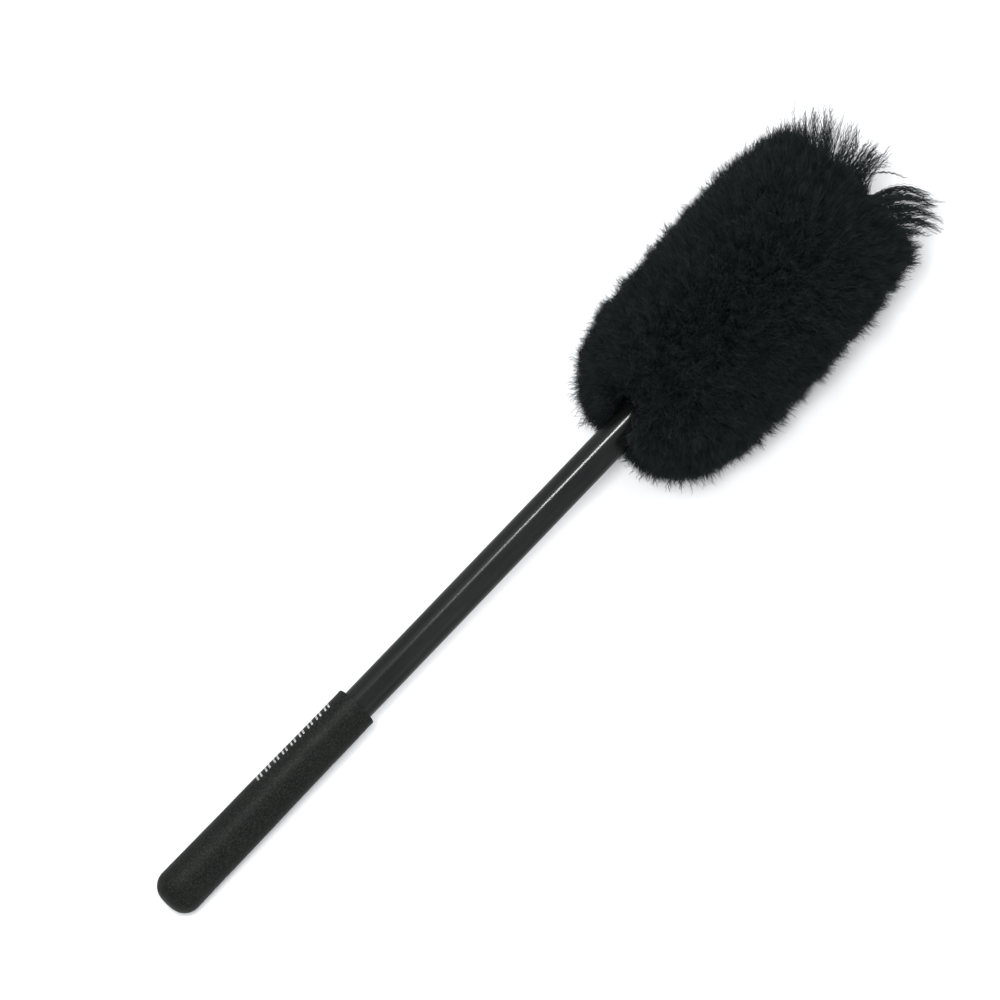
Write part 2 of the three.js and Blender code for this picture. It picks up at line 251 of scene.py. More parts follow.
def tube_material():
    """Gloss-black extruded plastic with faint drawn lines and hairline scuffs."""
    m = Maker("tube_gloss", Specular_IOR_Level=0.21)
    drawn = m.noise(400.0, 2.0, stretch=(0.02, 1.0, 1.0))
    scuffs = m.noise(110.0, 4.0, 0.6, stretch=(0.25, 1.0, 1.0))
    polish = m.noise(30.0, 2.0, stretch=(0.3, 1.0, 1.0))
    m.drive("Base Color", m.ramp(scuffs, (0.35, srgb(14, 15, 15)), (0.8, srgb(29, 30, 28))))
    m.drive("Roughness", m.spread(polish, 0.15, 0.19))
    m.drive("Normal", m.bump(drawn, 0.005, 0.00003))
    return m.material


def ink_material():
    """White pad-printed ink, rubbed thin in places."""
    m = Maker("print_ink", Roughness=0.55)
    worn = m.noise(1400.0, 4.0)
    m.drive("Base Color", m.ramp(worn, (0.38, srgb(96, 98, 96)), (0.52, srgb(196, 198, 195))))
    return m.material


def wool_material():
    """Dyed wool: each fibre has its own depth of black, with painted shade that darkens it towards
    its root.
    """
    m = Maker("black_wool", Roughness=0.7, Specular_IOR_Level=0.14)
    tone = m.node("Attribute", attribute_name="tone").outputs["Fac"]
    shades = (
        (0.0, srgb(15, 18, 19)),
        (0.35, srgb(32, 39, 40)),
        (0.7, srgb(45, 53, 54)),
        (1.0, srgb(70, 68, 60)),
    )
    # The tone attribute carries each fibre's own tone and the painted shade towards its root
    m.drive("Base Color", m.ramp(tone, *shades))
    return m.material


def wool_mass_material():
    """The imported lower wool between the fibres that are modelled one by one."""
    m = Maker("wool_depth", Roughness=0.95, Specular_IOR_Level=0.1)
    curls = m.noise(420.0, 6.0, 0.7)
    m.drive("Base Color", m.ramp(curls, (0.35, srgb(17, 21, 22)), (0.7, srgb(38, 46, 47))))
    m.drive("Normal", m.bump(curls, 0.9, 0.002))
    return m.material


def simple_material(name, dark, light, grain, rough, relief, stretch=(1.0, 1.0, 1.0), **sockets):
    """A two-tone grained surface, for the pieces inside the head."""
    m = Maker(name, **sockets)
    texture = m.noise(grain, 5.0, stretch=stretch)
    m.drive("Base Color", m.ramp(texture, (0.3, dark), (0.7, light)))
    m.drive("Roughness", m.spread(texture, *rough))
    m.drive("Normal", m.bump(texture, 0.5, relief))
    return m.material


def floor_material():
    """A pale floor that is mid grey in reflections and throws little light back at the object."""
    m = Maker("pale_floor", Roughness=0.9, Specular_IOR_Level=0.1)
    pale = m.ramp(m.noise(60.0, 3.0), (0.3, (0.91, 0.91, 0.91, 1)), (0.7, (0.93, 0.93, 0.93, 1)))
    thrown_back, reflected = (0.16, 0.16, 0.155, 1), (0.5, 0.5, 0.49, 1)
    paths = m.node("LightPath").outputs
    unseen = m.mix(paths["Is Glossy Ray"], thrown_back, reflected)
    m.drive("Base Color", m.mix(paths["Is Camera Ray"], unseen, pale))
    return m.material


# ---- Mesh helpers ----------------------------------------------------------------


def mesh_object(name, points, faces, material):
    """A smooth-shaded object from brush-frame points and faces with the same corner count."""
    faces = np.asarray(faces, np.int32)
    mesh = bpy.data.meshes.new(name)
    mesh.vertices.add(len(points))
    mesh.vertices.foreach_set("co", brush.lay(points).astype(np.float32).ravel())
    mesh.loops.add(faces.size)
    mesh.loops.foreach_set("vertex_index", faces.ravel())
    mesh.polygons.add(len(faces))
    starts = np.arange(0, faces.size, faces.shape[1], dtype=np.int32)
    mesh.polygons.foreach_set("loop_start", starts)
    mesh.update(calc_edges=True)
    mesh.polygons.foreach_set("use_smooth", np.ones(len(faces), bool))
    mesh.materials.append(material)
    made = bpy.data.objects.new(name, mesh)
    bpy.context.scene.collection.objects.link(made)
    return made


def settle(piece, slot, *nodes):
    """The piece rides with the brush and stands for those CAD nodes; the slot it is given is not
    used.
    """
    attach(piece, "root")
    if nodes:
        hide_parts(*nodes)


def ring_faces(rings, sides):
    """Quads between rings of points that follow one another, the last joined to the first."""
    ring = np.arange(rings)[:, None]
    side = np.arange(sides)[None, :]
    after, beside = (ring + 1) % rings, (side + 1) % sides
    corners = [
        ring * sides + side,
        ring * sides + beside,
        after * sides + beside,
        after * sides + side,
    ]
    return np.stack(corners, -1).reshape(-1, 4)


TURNED_SIDES = 128


def turned(name, profile, material, ripple):
    """A closed body turned about the brush's axis, with an uneven surface.

    The profile of [x, radius] closes on itself. The ripple changes the radius at x and an
    angle, but not where the profile lies on the axis.
    """
    profile = np.asarray(profile, float)
    angle = np.linspace(0, 2 * math.pi, TURNED_SIDES, endpoint=False)
    x = np.repeat(profile[:, 0][:, None], TURNED_SIDES, 1)
    radius = np.repeat(profile[:, 1][:, None], TURNED_SIDES, 1)
    radius = radius + ripple(x, angle[None, :]) * (radius > 0.01)
    points = around(x, radius, angle).reshape(-1, 3)
    made = mesh_object(name, points, ring_faces(len(profile), TURNED_SIDES), material)
    tidy_mesh(made)
    return made


WELD_DISTANCE = 0.001 * MM


def tidy_mesh(piece, crease_degrees=38.0):
    """Joins points that coincide, turns all faces outward and keeps real edges crisp."""
    bm = bmesh.new()
    bm.from_mesh(piece.data)
    bmesh.ops.remove_doubles(bm, verts=bm.verts, dist=WELD_DISTANCE)
    bmesh.ops.recalc_face_normals(bm, faces=bm.faces)
    bm.to_mesh(piece.data)
    bm.free()
    piece.data.set_sharp_from_angle(angle=math.radians(crease_degrees))


def arc(centre_x, centre_radius, radius, start, end, steps):
    """Profile points round an arc; 0 degrees is towards the tip and 90 away from the axis."""
    angles = np.radians(np.linspace(start, end, steps))
    return [
        (centre_x + radius * math.cos(a), centre_radius + radius * math.sin(a)) for a in angles
    ]


def around(x, radius, angle):
    """Points at those places along the axis, radii, and angles from the top."""
    return np.stack([x, radius * np.sin(angle), radius * np.cos(angle)], -1)


# ---- Handle ------------------------------------------------------------------------


# The grip's rolled lip: where it starts and swells most, back from the mouth, by how much
# it swells, and its rounded edges
LIP_WIDTH, LIP_CREST, LIP_SWELL = 2.2, 1.4, 0.12
LIP_RADIUS, BORE_EDGE = 0.55, 0.3
LIP_CENTRE = GRIP_MOUTH_RADIUS - LIP_RADIUS + 0.1


def grip_radius(x):
    """The grip's outer radius at x, past the rounded butt."""
    share = (x - GRIP_ROUNDING) / (GRIP_LENGTH - GRIP_ROUNDING)
    return GRIP_BUTT_RADIUS + (GRIP_MOUTH_RADIUS - GRIP_BUTT_RADIUS) * share


def make_grip(material):
    """A slip-on sleeve, a little uneven as dipped vinyl is, with a soft rounded lip."""
    flat = GRIP_BUTT_RADIUS - GRIP_ROUNDING
    stations = np.linspace(GRIP_ROUNDING, GRIP_LENGTH - LIP_WIDTH, 70)[1:]
    profile = [
        (0.0, 0.0),
        (0.0, flat * 0.5),
        *arc(GRIP_ROUNDING, flat, GRIP_ROUNDING, 180, 90, 22),
        *[(x, grip_radius(x)) for x in stations],
        (GRIP_LENGTH - LIP_CREST, GRIP_MOUTH_RADIUS + LIP_SWELL),
        *arc(GRIP_LENGTH - LIP_RADIUS, LIP_CENTRE, LIP_RADIUS, 90, 0, 7),
        *arc(GRIP_LENGTH - BORE_EDGE, GRIP_BORE + BORE_EDGE, BORE_EDGE, 0, -90, 4),
        (GRIP_FLOOR, GRIP_BORE),
        (GRIP_FLOOR, 0.0),
    ]
    phase = rng.uniform(0, 2 * math.pi, 6)

    def ripple(x, angle):
        slow = np.sin(x / 9.0 + phase[0] + 1.3 * np.sin(angle + phase[1]))
        quick = np.sin(x / 3.7 + phase[2]) * np.sin(2 * angle + phase[3])
        lengthwise = np.sin(3 * angle + x / 40 + phase[4])
        return 0.035 * slow + 0.015 * quick + 0.02 * lengthwise

    settle(turned("grip_sleeve_vinyl", profile, material, ripple), "grip", "grip_sleeve")


TUBE_EDGE = 0.25


def make_tube(material):
    """The straight tube, with rounded edges and the two cross holes for its pins."""
    edge_radius = TUBE_RADIUS - TUBE_EDGE
    profile = [
        *arc(TUBE_START + TUBE_EDGE, edge_radius, TUBE_EDGE, 180, 90, 4),
        *[(x, TUBE_RADIUS) for x in np.linspace(TUBE_START + 2, TUBE_END - 2, 90)],
        *arc(TUBE_END - TUBE_EDGE, edge_radius, TUBE_EDGE, 90, 0, 4),
        (TUBE_END, TUBE_BORE),
        (TUBE_START, TUBE_BORE),
    ]
    phase = rng.uniform(0, 2 * math.pi, 2)

    def ripple(x, angle):
        return 0.006 * np.sin(x / 17.0 + phase[0]) * np.sin(angle + phase[1])

    tube = turned("handle_tube_gloss", profile, material, ripple)
    for place in PIN_PLACES:
        drill(tube, place)
    settle(tube, "tube", "handle_tube")


def drill(tube, x):
    """Cuts a cross hole for a pin right through the tube at x."""
    bpy.ops.mesh.primitive_cylinder_add(
        vertices=32,
        radius=PIN_HOLE_RADIUS * MM,
        depth=4 * TUBE_RADIUS * MM,
        location=Vector(brush.lay((x, 0.0, 0.0))),
        rotation=(math.pi / 2, 0.0, 0.0),
    )
    cutter = bpy.context.object
    cut = tube.modifiers.new("pin_hole", "BOOLEAN")
    cut.operation = "DIFFERENCE"
    cut.solver = "EXACT"
    cut.object = cutter
    bpy.context.view_layer.objects.active = tube
    bpy.ops.object.modifier_apply(modifier=cut.name)
    bpy.data.objects.remove(cutter)


PRINT_MARKS = 9
PRINT_START, PRINT_PITCH = 65.0, 5.25
STROKES_PER_MARK, STROKE_PITCH = 2, 2.1
STROKE_WIDTH, STROKE_SLANT = 0.9, 1.1
PRINT_ANGLES = (43.0, 70.0)
# Each stroke goes from inside the vinyl to just above its uneven surface
PRINT_LIFTS = (-0.15, 0.11)


def make_print(material):
    """A plain row of paired slanting strokes, printed in white along one side of the grip."""
    across, around_grip = 4, 10
    points, faces = [], []
    for stroke in range(PRINT_MARKS * STROKES_PER_MARK):
        mark, place = divmod(stroke, STROKES_PER_MARK)
        share = np.linspace(0, 1, around_grip)[:, None]
        start = PRINT_START + mark * PRINT_PITCH + place * STROKE_PITCH
        x = start + np.linspace(0, STROKE_WIDTH, across)[None, :] + STROKE_SLANT * share
        angle = np.radians(np.interp(share, (0, 1), PRINT_ANGLES)) + 0 * x
        for lift in PRINT_LIFTS:
            points.append(around(x, grip_radius(x) + lift, angle).reshape(-1, 3))
        faces.append(slab_faces(around_grip, across) + 2 * stroke * around_grip * across)
    ink = mesh_object("grip_print", np.concatenate(points), np.concatenate(faces), material)
    tidy_mesh(ink)
    settle(ink, "grip")


def slab_faces(rows, columns):
    """Quads of a closed slab whose lower grid of points is followed by its upper one."""
    size = rows * columns
    at = np.arange(size).reshape(rows, columns)
    sheet = np.stack([at[:-1, :-1], at[:-1, 1:], at[1:, 1:], at[1:, :-1]], -1).reshape(-1, 4)
    rim = np.concatenate([at[0, :], at[1:, -1], at[-1, -2::-1], at[-2:0:-1, 0]])
    after = np.roll(rim, -1)
    walls = np.stack([rim, after, after + size, rim + size], -1)
    return np.concatenate([sheet[:, ::-1], sheet + size, walls])


# ---- Wool --------------------------------------------------------------------------

# How the wool fans out along the head, from base to tip. Each row is a ray: where it
# grows from the hide, as x and radius, and where it ends on the outside of the wool.
RAYS = np.array([
    (301.8, 11.9, 284.0, 10.2),
    (302.0, 12.3, 280.5, 17.0),
    (303.5, 12.5, 279.5, 22.0),
    (306.0, 12.6, 282.5, 28.5),
    (308.5, 12.8, 288.5, 34.8),
    (311.5, 13.0, 297.0, 40.2),
    (315.0, 15.5, 308.0, 43.6),
    (320.0, 17.8, 321.0, 45.9),
    (345.0, 17.8, 346.0, 47.5),
    (368.0, 17.8, 370.0, 48.1),
    (392.0, 17.8, 398.0, 47.8),
    (404.0, 17.8, 418.0, 46.0),
    (409.0, 17.0, 432.0, 42.8),
    (413.5, 14.7, 443.5, 37.8),
    (417.0, 11.3, 451.0, 30.2),
    (419.3, 7.4, 454.5, 20.0),
    (420.5, 3.4, 455.0, 10.0),
    (420.8, 0.3, 455.0, 0.5),
])

# The head sits a little askew: its outside moves this far across for each millimetre
# along, from the place where it is centred.
WOOL_SKEW, WOOL_SKEW_CENTRE = 0.03, 375.0

# The first rows again for the wool right over the handle, which stands nearly upright.
RAYS_OVER_HANDLE = RAYS.copy()
RAYS_OVER_HANDLE[:7, 2:] = [
    (296.5, 34.0),
    (297.0, 36.0),
    (298.0, 38.0),
    (299.5, 39.5),
    (302.0, 41.0),
    (305.5, 42.4),
    (312.0, 44.2),
]
OVER_HANDLE_CENTRE = 14.0
OVER_HANDLE_DEGREES = (20.0, 39.0)

# The gap between the tip's two tufts. It leans with the wool, so its places are given in
# a slanting plane: x and y at the height of the axis, moved on for each millimetre up.
GAP_LEAN = np.array([-0.157, -0.22])
GAP_MIDDLE = -6.6
GAP_UPPER_REACH = 9.0
GAP_LOWER_REACH = -42.0
GAP_EDGES = np.array([
    (436.0, -6.6, -6.6),
    (440.0, -4.2, -9.4),
    (444.0, -3.0, -12.0),
    (450.0, -2.0, -17.2),
    (454.0, -1.5, -24.0),
    (458.0, -1.5, -31.0),
])

# Loose tufts at the tip, in the same slanting plane: start, bend, end, how far the
# strands spread across and in height, and their number.
TIP_TUFTS = (
    ((428.0, -8.5), (451.5, -8.0), (455.5, -28.5), 0.9, 8.0, 11),
    ((428.0, -12.5), (450.5, -12.5), (453.5, -33.5), 1.4, 8.0, 10),
    ((427.0, -16.5), (447.5, -17.0), (450.5, -38.0), 1.6, 8.0, 10),
    ((425.0, -20.5), (443.5, -22.0), (447.0, -40.5), 1.6, 8.0, 10),
    ((422.0, -25.0), (437.0, -27.0), (442.0, -38.5), 1.2, 7.0, 9),
    ((418.0, -29.0), (431.0, -32.0), (437.0, -40.5), 1.2, 7.0, 8),
    ((432.0, 7.0), (446.0, 9.0), (455.5, 4.0), 0.9, 6.0, 2),
    ((432.0, 4.5), (446.0, 6.5), (457.0, 0.0), 0.9, 6.0, 3),
    ((433.0, 1.0), (446.0, 3.5), (455.5, -4.0), 0.9, 6.0, 3),
    ((434.0, -1.0), (441.0, 0.5), (447.0, -3.5), 0.8, 5.0, 2),
    ((431.0, -4.5), (438.0, -3.0), (442.5, -5.0), 0.9, 5.0, 2),
    ((433.0, 11.0), (444.0, 13.0), (453.5, 11.0), 1.6, 6.0, 3),
    ((434.0, 15.5), (445.0, 15.5), (454.5, 16.8), 0.6, 5.0, 2),
    ((434.0, 20.5), (444.0, 23.5), (454.0, 28.0), 0.7, 5.0, 3),
    ((431.0, 23.0), (440.0, 26.5), (449.5, 30.0), 0.8, 5.0, 3),
    ((443.0, 0.0), (452.5, -4.0), (453.5, -13.5), 0.1, 0.5, 1),
)
FIBRES_PER_STRAND = 4
STRAND_RINGS = np.linspace(0.1, 1.0, 40)

# Wisps that stand out of the shorter wool: the stretch they grow on, as shares of the way
# from base to tip, how far they reach along the wool's rays, and their number.
WISPS = {
    "base": ((0.03, 0.16), (0.96, 1.13), 200),
    "barrel": ((0.16, 0.7), (0.99, 1.07), 160),
    "lower_shoulder": ((0.7, 0.79), (0.98, 1.09), 150),
    "upper_shoulder": ((0.79, 0.88), (0.98, 1.09), 150),
    "tip": ((0.86, 1.0), (0.84, 1.04), 62),
}

LOCKS = 7000
FIBRES_PER_LOCK = 18
LOCK_RADIUS = 2.2
FIBRE_SIDES = 3

# Where the rings of a fibre stand, as shares of its length from the hide
BARREL_RINGS = np.array([0.50, 0.68, 0.82, 0.92, 1.0])
END_RINGS = np.array([0.30, 0.46, 0.60, 0.72, 0.82, 0.92, 1.0])

# How much a lock and each of its fibres kink from ring to ring, past this share
LOCK_KINK, FIBRE_KINK = 0.85, 0.6
KINKED_FROM = 0.65

# How unevenly the wool ends: the wavelength and the size of its swirls and its lengths
SWIRL_WAVELENGTH, SWIRL_SIZE = 24.0, 0.5
LENGTH_WAVELENGTH, LENGTH_SIZE = 15.0, 0.35

# The x between which the ends of the wool pass into each part of the head
TO_BASE = (284, 300)
TO_SHOULDER = (392, 424)
TO_TIP = (434, 449)

# The same for the roots of the wool, from the hide's hem to its barrel and on to its dome,
# and how much a fibre follows its square start
HIDE_HEM = (306, 316)
HIDE_DOME = (404, 419)
SQUARENESS = 0.45

# Steps of an even sequence of places in a plane, as shares of its two sides
EVEN_STEP_ALONG, EVEN_STEP_ROUND = 0.7548776662466927, 0.5698402909980532

LOCK_STRAY = 0.9
PILE_GIVE = 1.6
LOCK_TONE, LOCK_TONE_SPREAD, FIBRE_TONE_SPREAD = 0.31, 0.06, 0.22
LOOSE_SHARE = 0.12
FIBRE_END_SCATTER = 0.6
FIBRE_RADII = (0.13, 0.22)

# Strands of tufts and wisps: how far their fibres scatter at the start, bend and end,
# how much further the frayed ones do, and how much shorter a fibre may be
STRAND_SCATTER = (0.5, 0.7, 0.9)
FRAYED_SHARE, FRAYED, UNFRAYED = 0.4, 1.1, 0.35
STRAND_SHORTFALL = 5.0
STRAND_TURNS = (6.5, 10.5)
STRAND_SWINGS = (0.3, 0.6)
STRAND_TONE, STRAND_TONE_SPREAD = 0.36, 0.1
STRAND_RADII = (0.12, 0.19)


def smooth_step(value, start, end):
    """0 before start, 1 after end, and a smooth passage between them."""
    t = np.clip((value - start) / (end - start), 0, 1)
    return t * t * (3 - 2 * t)


def unit(vectors):
    """The vectors at length 1."""
    return vectors / np.maximum(np.linalg.norm(vectors, axis=-1, keepdims=True), 1e-9)


class SmoothNoise:
    """A sum of plane waves in random directions: smooth, repeatable and cheap."""

    WAVES = 14

    def __init__(self, wavelength):
        directions = unit(rng.normal(size=(self.WAVES, 3)))
        lengths = wavelength * rng.uniform(0.7, 1.6, self.WAVES)
        self.vectors = directions * (2 * math.pi / lengths)[:, None]
        self.phases = rng.uniform(0, 2 * math.pi, self.WAVES)
        self.scale = math.sqrt(2 / self.WAVES)

    def __call__(self, points):
        return np.sin(points @ self.vectors.T + self.phases).sum(-1) * self.scale


class PileShape:
    """Where the wool starts and ends, for any place along and round the head."""

    def __init__(self):
        steps = np.linalg.norm(np.diff(RAYS[:, 2:], axis=0), axis=1)
        self.stations = np.concatenate([[0], np.cumsum(steps)])
        self.total = self.stations[-1]
        self.swirl = [SmoothNoise(SWIRL_WAVELENGTH) for _ in range(3)]
        self.lift = SmoothNoise(LENGTH_WAVELENGTH)

    def ray(self, rows, distance):
        """The ray of that table at a distance along the outside of the wool."""
        return np.stack([np.interp(distance, self.stations, column) for column in rows.T], -1)

    def reach(self, distance, angle):
        """Root and end of the wool at a distance along its outside and an angle from the top."""
        turned_from = angle - math.radians(OVER_HANDLE_CENTRE)
        degrees = np.abs(np.degrees((turned_from + math.pi) % (2 * math.pi) - math.pi))
        upright = 1 - smooth_step(degrees, *OVER_HANDLE_DEGREES)[:, None]
        side, over = self.ray(RAYS, distance), self.ray(RAYS_OVER_HANDLE, distance)
        ray = side + (over - side) * upright
        root = around(ray[:, 0], ray[:, 1], angle)
        end = around(ray[:, 2], ray[:, 3], angle) * (1, 1, PILE_FLATTENING)
        end[:, 1] += WOOL_SKEW * (end[:, 0] - WOOL_SKEW_CENTRE)
        return root, self.uneven(root, end)

    def uneven(self, root, end):
        """The wool's slow swirls and its slightly uneven length."""
        swirl = np.stack([noise(end) for noise in self.swirl], -1)
        longer = LENGTH_SIZE * unit(end - root) * self.lift(end)[:, None]
        return end + SWIRL_SIZE * swirl + longer


def part_tip(lines):
    """Parts the wool at the tip: a fibre that would lie in the gap keeps to the side it ends on."""
    x, y = (lines[..., :2] - GAP_LEAN * lines[..., 2:]).transpose(2, 0, 1)
    upper = np.interp(x, GAP_EDGES[:, 0], GAP_EDGES[:, 1])
    lower = np.interp(x, GAP_EDGES[:, 0], GAP_EDGES[:, 2])
    above = (y - GAP_MIDDLE) / (GAP_UPPER_REACH - GAP_MIDDLE)
    below = (y - GAP_MIDDLE) / (GAP_LOWER_REACH - GAP_MIDDLE)
    moved = np.where(
        y[:, -1:] >= GAP_MIDDLE,
        upper + (GAP_UPPER_REACH - upper) * np.clip(above, 0, 1),
        lower + (GAP_LOWER_REACH - lower) * np.clip(below, 0, 1),
    )
    beside = (x > GAP_EDGES[0, 0]) & (above < 1) & (below < 1)
    placed = lines.copy()
    placed[..., 1] += np.where(beside, moved - y, 0)
    return placed


FLOOR_CLEARANCE = 0.25
SIDEWAYS_PUSH = 0.35


def rest_on_floor(points, give):
    """Lays what would sink into the floor on it, up to give above it and pushed sideways."""
    placed = brush.lay(points)
    under = np.clip((FLOOR_CLEARANCE + give) * MM - placed[..., 2], 0, None)
    placed[..., 2] += under
    placed[..., 1] += SIDEWAYS_PUSH * under * np.sign(placed[..., 1])
    return brush.take(placed)


def lock_places(shape, count):
    """Distances and angles of the locks, spread evenly over the outside of the wool."""
    steps = np.linspace(0, shape.total, 400)
    weight = np.cumsum(shape.ray(RAYS, steps)[:, 3] + 3.0)
    index = np.arange(count)
    along = (0.5 + index * EVEN_STEP_ALONG) % 1
    turn = (0.5 + index * EVEN_STEP_ROUND) % 1
    return np.interp(along, weight / weight[-1], steps), 2 * math.pi * turn


class Locks:
    """The locks of the pile: where each one grows and ends, and how free its fibres are."""

    def __init__(self, shape, count):
        self.distance, self.angle = lock_places(shape, count)
        self.root, end = shape.reach(self.distance, self.angle)
        self.at_tip = smooth_step(end[:, 0], *TO_TIP)
        self.at_shoulder = smooth_step(end[:, 0], *TO_SHOULDER) * (1 - self.at_tip)
        self.at_base = 1 - smooth_step(end[:, 0], *TO_BASE)
        stray = rng.normal(size=(count, 3))
        straight = end - self.root
        stray -= (stray * unit(straight)).sum(1)[:, None] * unit(straight)
        self.end = self.root + straight * self.shares(count)[:, None] + LOCK_STRAY * stray
        self.phase = rng.uniform(0, 2 * math.pi, count)
        self.turns = rng.uniform(2.2, 3.4, count) + 1.2 * self.at_tip + self.at_base
        self.curl = 0.55 + 0.3 * self.at_tip + 0.1 * self.at_base
        gathered = rng.random(count) < 0.5 + 0.5 * np.maximum(self.at_shoulder, self.at_tip)
        self.gather = np.where(gathered, rng.uniform(0.2, 0.5, count), rng.uniform(0.8, 1.3, count))
        self.tone = LOCK_TONE + LOCK_TONE_SPREAD * rng.normal(size=count)

    def shares(self, count):
        """How much of its ray each lock covers.

        The barrel is even, the shoulder ragged and the tip short with a few long wisps.
        """
        even = rng.normal(0.99, 0.02, count) + 0.09 * (rng.random(count) < 0.05)
        long = rng.random(count) < 0.3
        ragged = np.where(long, rng.uniform(0.97, 1.06, count), rng.uniform(0.84, 0.95, count))
        long = rng.random(count) < 0.02
        wispy = np.where(long, rng.uniform(0.75, 0.95, count), rng.uniform(0.44, 0.56, count))
        mixed = even + (ragged - even) * self.at_shoulder - 0.05 * self.at_base
        return mixed + (wispy - mixed) * self.at_tip


class Fibres:
    """Centre lines of fibres as an array of fibre, ring and xyz, with their tones."""

    def __init__(self, line, tone, thickness):
        self.line = line
        self.tone = np.clip(tone, 0, 1)
        self.thickness = thickness


def bezier(first, second, third, shares):
    """Points on quadratic curves, one curve per row, at each of the shares."""
    t = shares[None, :, None]
    return (1 - t) ** 2 * first[:, None] + 2 * t * (1 - t) * second[:, None] + t**2 * third[:, None]


def waves(shares, phase, turns, swing, side, reach):
    """Helical crimp about straight fibres, wider towards their ends."""
    other = np.cross(reach, side)
    angle = 2 * math.pi * turns[:, None] * shares[None, :] + phase[:, None]
    size = swing[:, None] * shares[None, :] ** 0.8
    aside = (size * np.sin(angle))[..., None] * side[:, None]
    return aside + (size * np.cos(angle))[..., None] * other[:, None]


def kinks(reach, shares, size):
    """Small random kinks that add up along a fibre, so that its end lies any way."""
    steps = rng.normal(0, size, (len(reach), len(shares), 3)) * (shares > KINKED_FROM)[:, None]
    steps -= (steps * reach[:, None]).sum(-1, keepdims=True) * reach[:, None]
    return np.cumsum(steps, axis=1)


def bend_points(root, end, length):
    """Fibres leave the hide squarely and then bend over towards their ends.

    On the barrel that is away from the axis and on the dome along it. At the hem the
    fibres start straight towards their ends.
    """
    outward = unit(root * (0, 1, 1) + (1e-6, 0, 0))
    straight = root + (end - root) * 0.5
    square = root + outward * (0.5 * length)[:, None]
    ahead = root + np.array([0.5, 0, 0]) * length[:, None]
    square += (ahead - square) * smooth_step(root[:, 0], *HIDE_DOME)[:, None]
    square += (straight - square) * (1 - smooth_step(root[:, 0], *HIDE_HEM)[:, None])
    return straight + (square - straight) * SQUARENESS


def fibre_tones_with_root_shade(own, shares):
    """Each ring's tone, from 0 for black to 1 for rusty grey, with painted shade that makes it
    darker towards the root.
    """
    # Painted shade: towards the root each ring keeps only three quarters of the fibre's own tone
    tone = own[:, None] * (0.75 + 0.25 * smooth_step(shares, 0.4, 0.95))[None, :]
    faded = (rng.random(len(own)) < 0.03)[:, None] * 0.2 * shares[None, :] ** 4
    return tone + faded


def grow_pile(locks, chosen, shares):
    """The fibres of the chosen locks."""
    growing = np.flatnonzero(chosen)
    lock = np.repeat(growing, FIBRES_PER_LOCK)
    count = len(lock)
    root, end = locks.root[lock], locks.end[lock]
    reach = unit(end - root)
    length = np.linalg.norm(end - root, axis=1)
    side = unit(np.cross(reach, rng.normal(size=(count, 3))))
    offset = side * (np.sqrt(rng.random(count)) * LOCK_RADIUS)[:, None]
    loose = rng.random(count) < LOOSE_SHARE
    gather = np.where(loose, rng.uniform(0.8, 1.5, count), locks.gather[lock])
    share = np.where(loose, rng.uniform(0.85, 1.05, count), rng.uniform(0.92, 1.0, count))
    share -= 0.12 * locks.at_tip[lock] * rng.random(count)
    end = root + (end - root) * share[:, None] + offset * gather[:, None]
    end += rng.normal(0, FIBRE_END_SCATTER, (count, 3)) * (1 + 0.4 * loose)[:, None]
    line = bezier(root, bend_points(root, end, length) + offset * 0.9, end, shares)
    phase = locks.phase[lock] + rng.normal(0, 1.0, count)
    line += waves(shares, phase, locks.turns[lock], locks.curl[lock], side, reach)
    lock_kinks = kinks(unit(locks.end[growing] - locks.root[growing]), shares, LOCK_KINK)
    line += np.repeat(lock_kinks, FIBRES_PER_LOCK, 0) + kinks(reach, shares, FIBRE_KINK)
    line = rest_on_floor(part_tip(line), rng.uniform(0, PILE_GIVE, (count, 1)))
    own = locks.tone[lock] + FIBRE_TONE_SPREAD * rng.normal(size=count)
    return Fibres(line, fibre_tones_with_root_shade(own, shares), rng.uniform(*FIBRE_RADII, count))


def grow_strands(starts, bends, ends):
    """Crinkled strands, a few fibres to each, that fray at their ends."""
    strands = len(starts)
    strand = np.repeat(np.arange(strands), FIBRES_PER_STRAND)
    count = len(strand)
    reach = unit(ends - starts)
    side = unit(np.cross(reach, rng.normal(size=(strands, 3))))
    frayed = np.where(rng.random(count) < FRAYED_SHARE, FRAYED, UNFRAYED)[:, None]
    at_start, at_bend, at_end = STRAND_SCATTER
    start = starts[strand] + rng.normal(0, at_start, (count, 3))
    bend = bends[strand] + rng.normal(0, at_bend, (count, 3)) * frayed
    end = ends[strand] + rng.normal(0, at_end, (count, 3)) * frayed
    end -= reach[strand] * (rng.random(count) ** 2 * STRAND_SHORTFALL)[:, None]
    line = bezier(start, bend, end, STRAND_RINGS)
    phase = rng.uniform(0, 2 * math.pi, strands)[strand] + rng.normal(0, 0.4, count)
    turns = rng.uniform(*STRAND_TURNS, strands)[strand]
    swing = rng.uniform(*STRAND_SWINGS, strands)[strand]
    line += waves(STRAND_RINGS, phase, turns, swing, side[strand], reach[strand])
    own = STRAND_TONE + STRAND_TONE_SPREAD * rng.normal(size=count)
    return Fibres(line, fibre_tones_with_root_shade(own, STRAND_RINGS), rng.uniform(*STRAND_RADII, count))


TUFT_FAN = (0.9, 1.0, 1.5)
TUFT_HEIGHT_LIMIT = 1.6
TUFT_ROOT_HEIGHT = 0.6
TUFT_SHORTFALL = 4.0


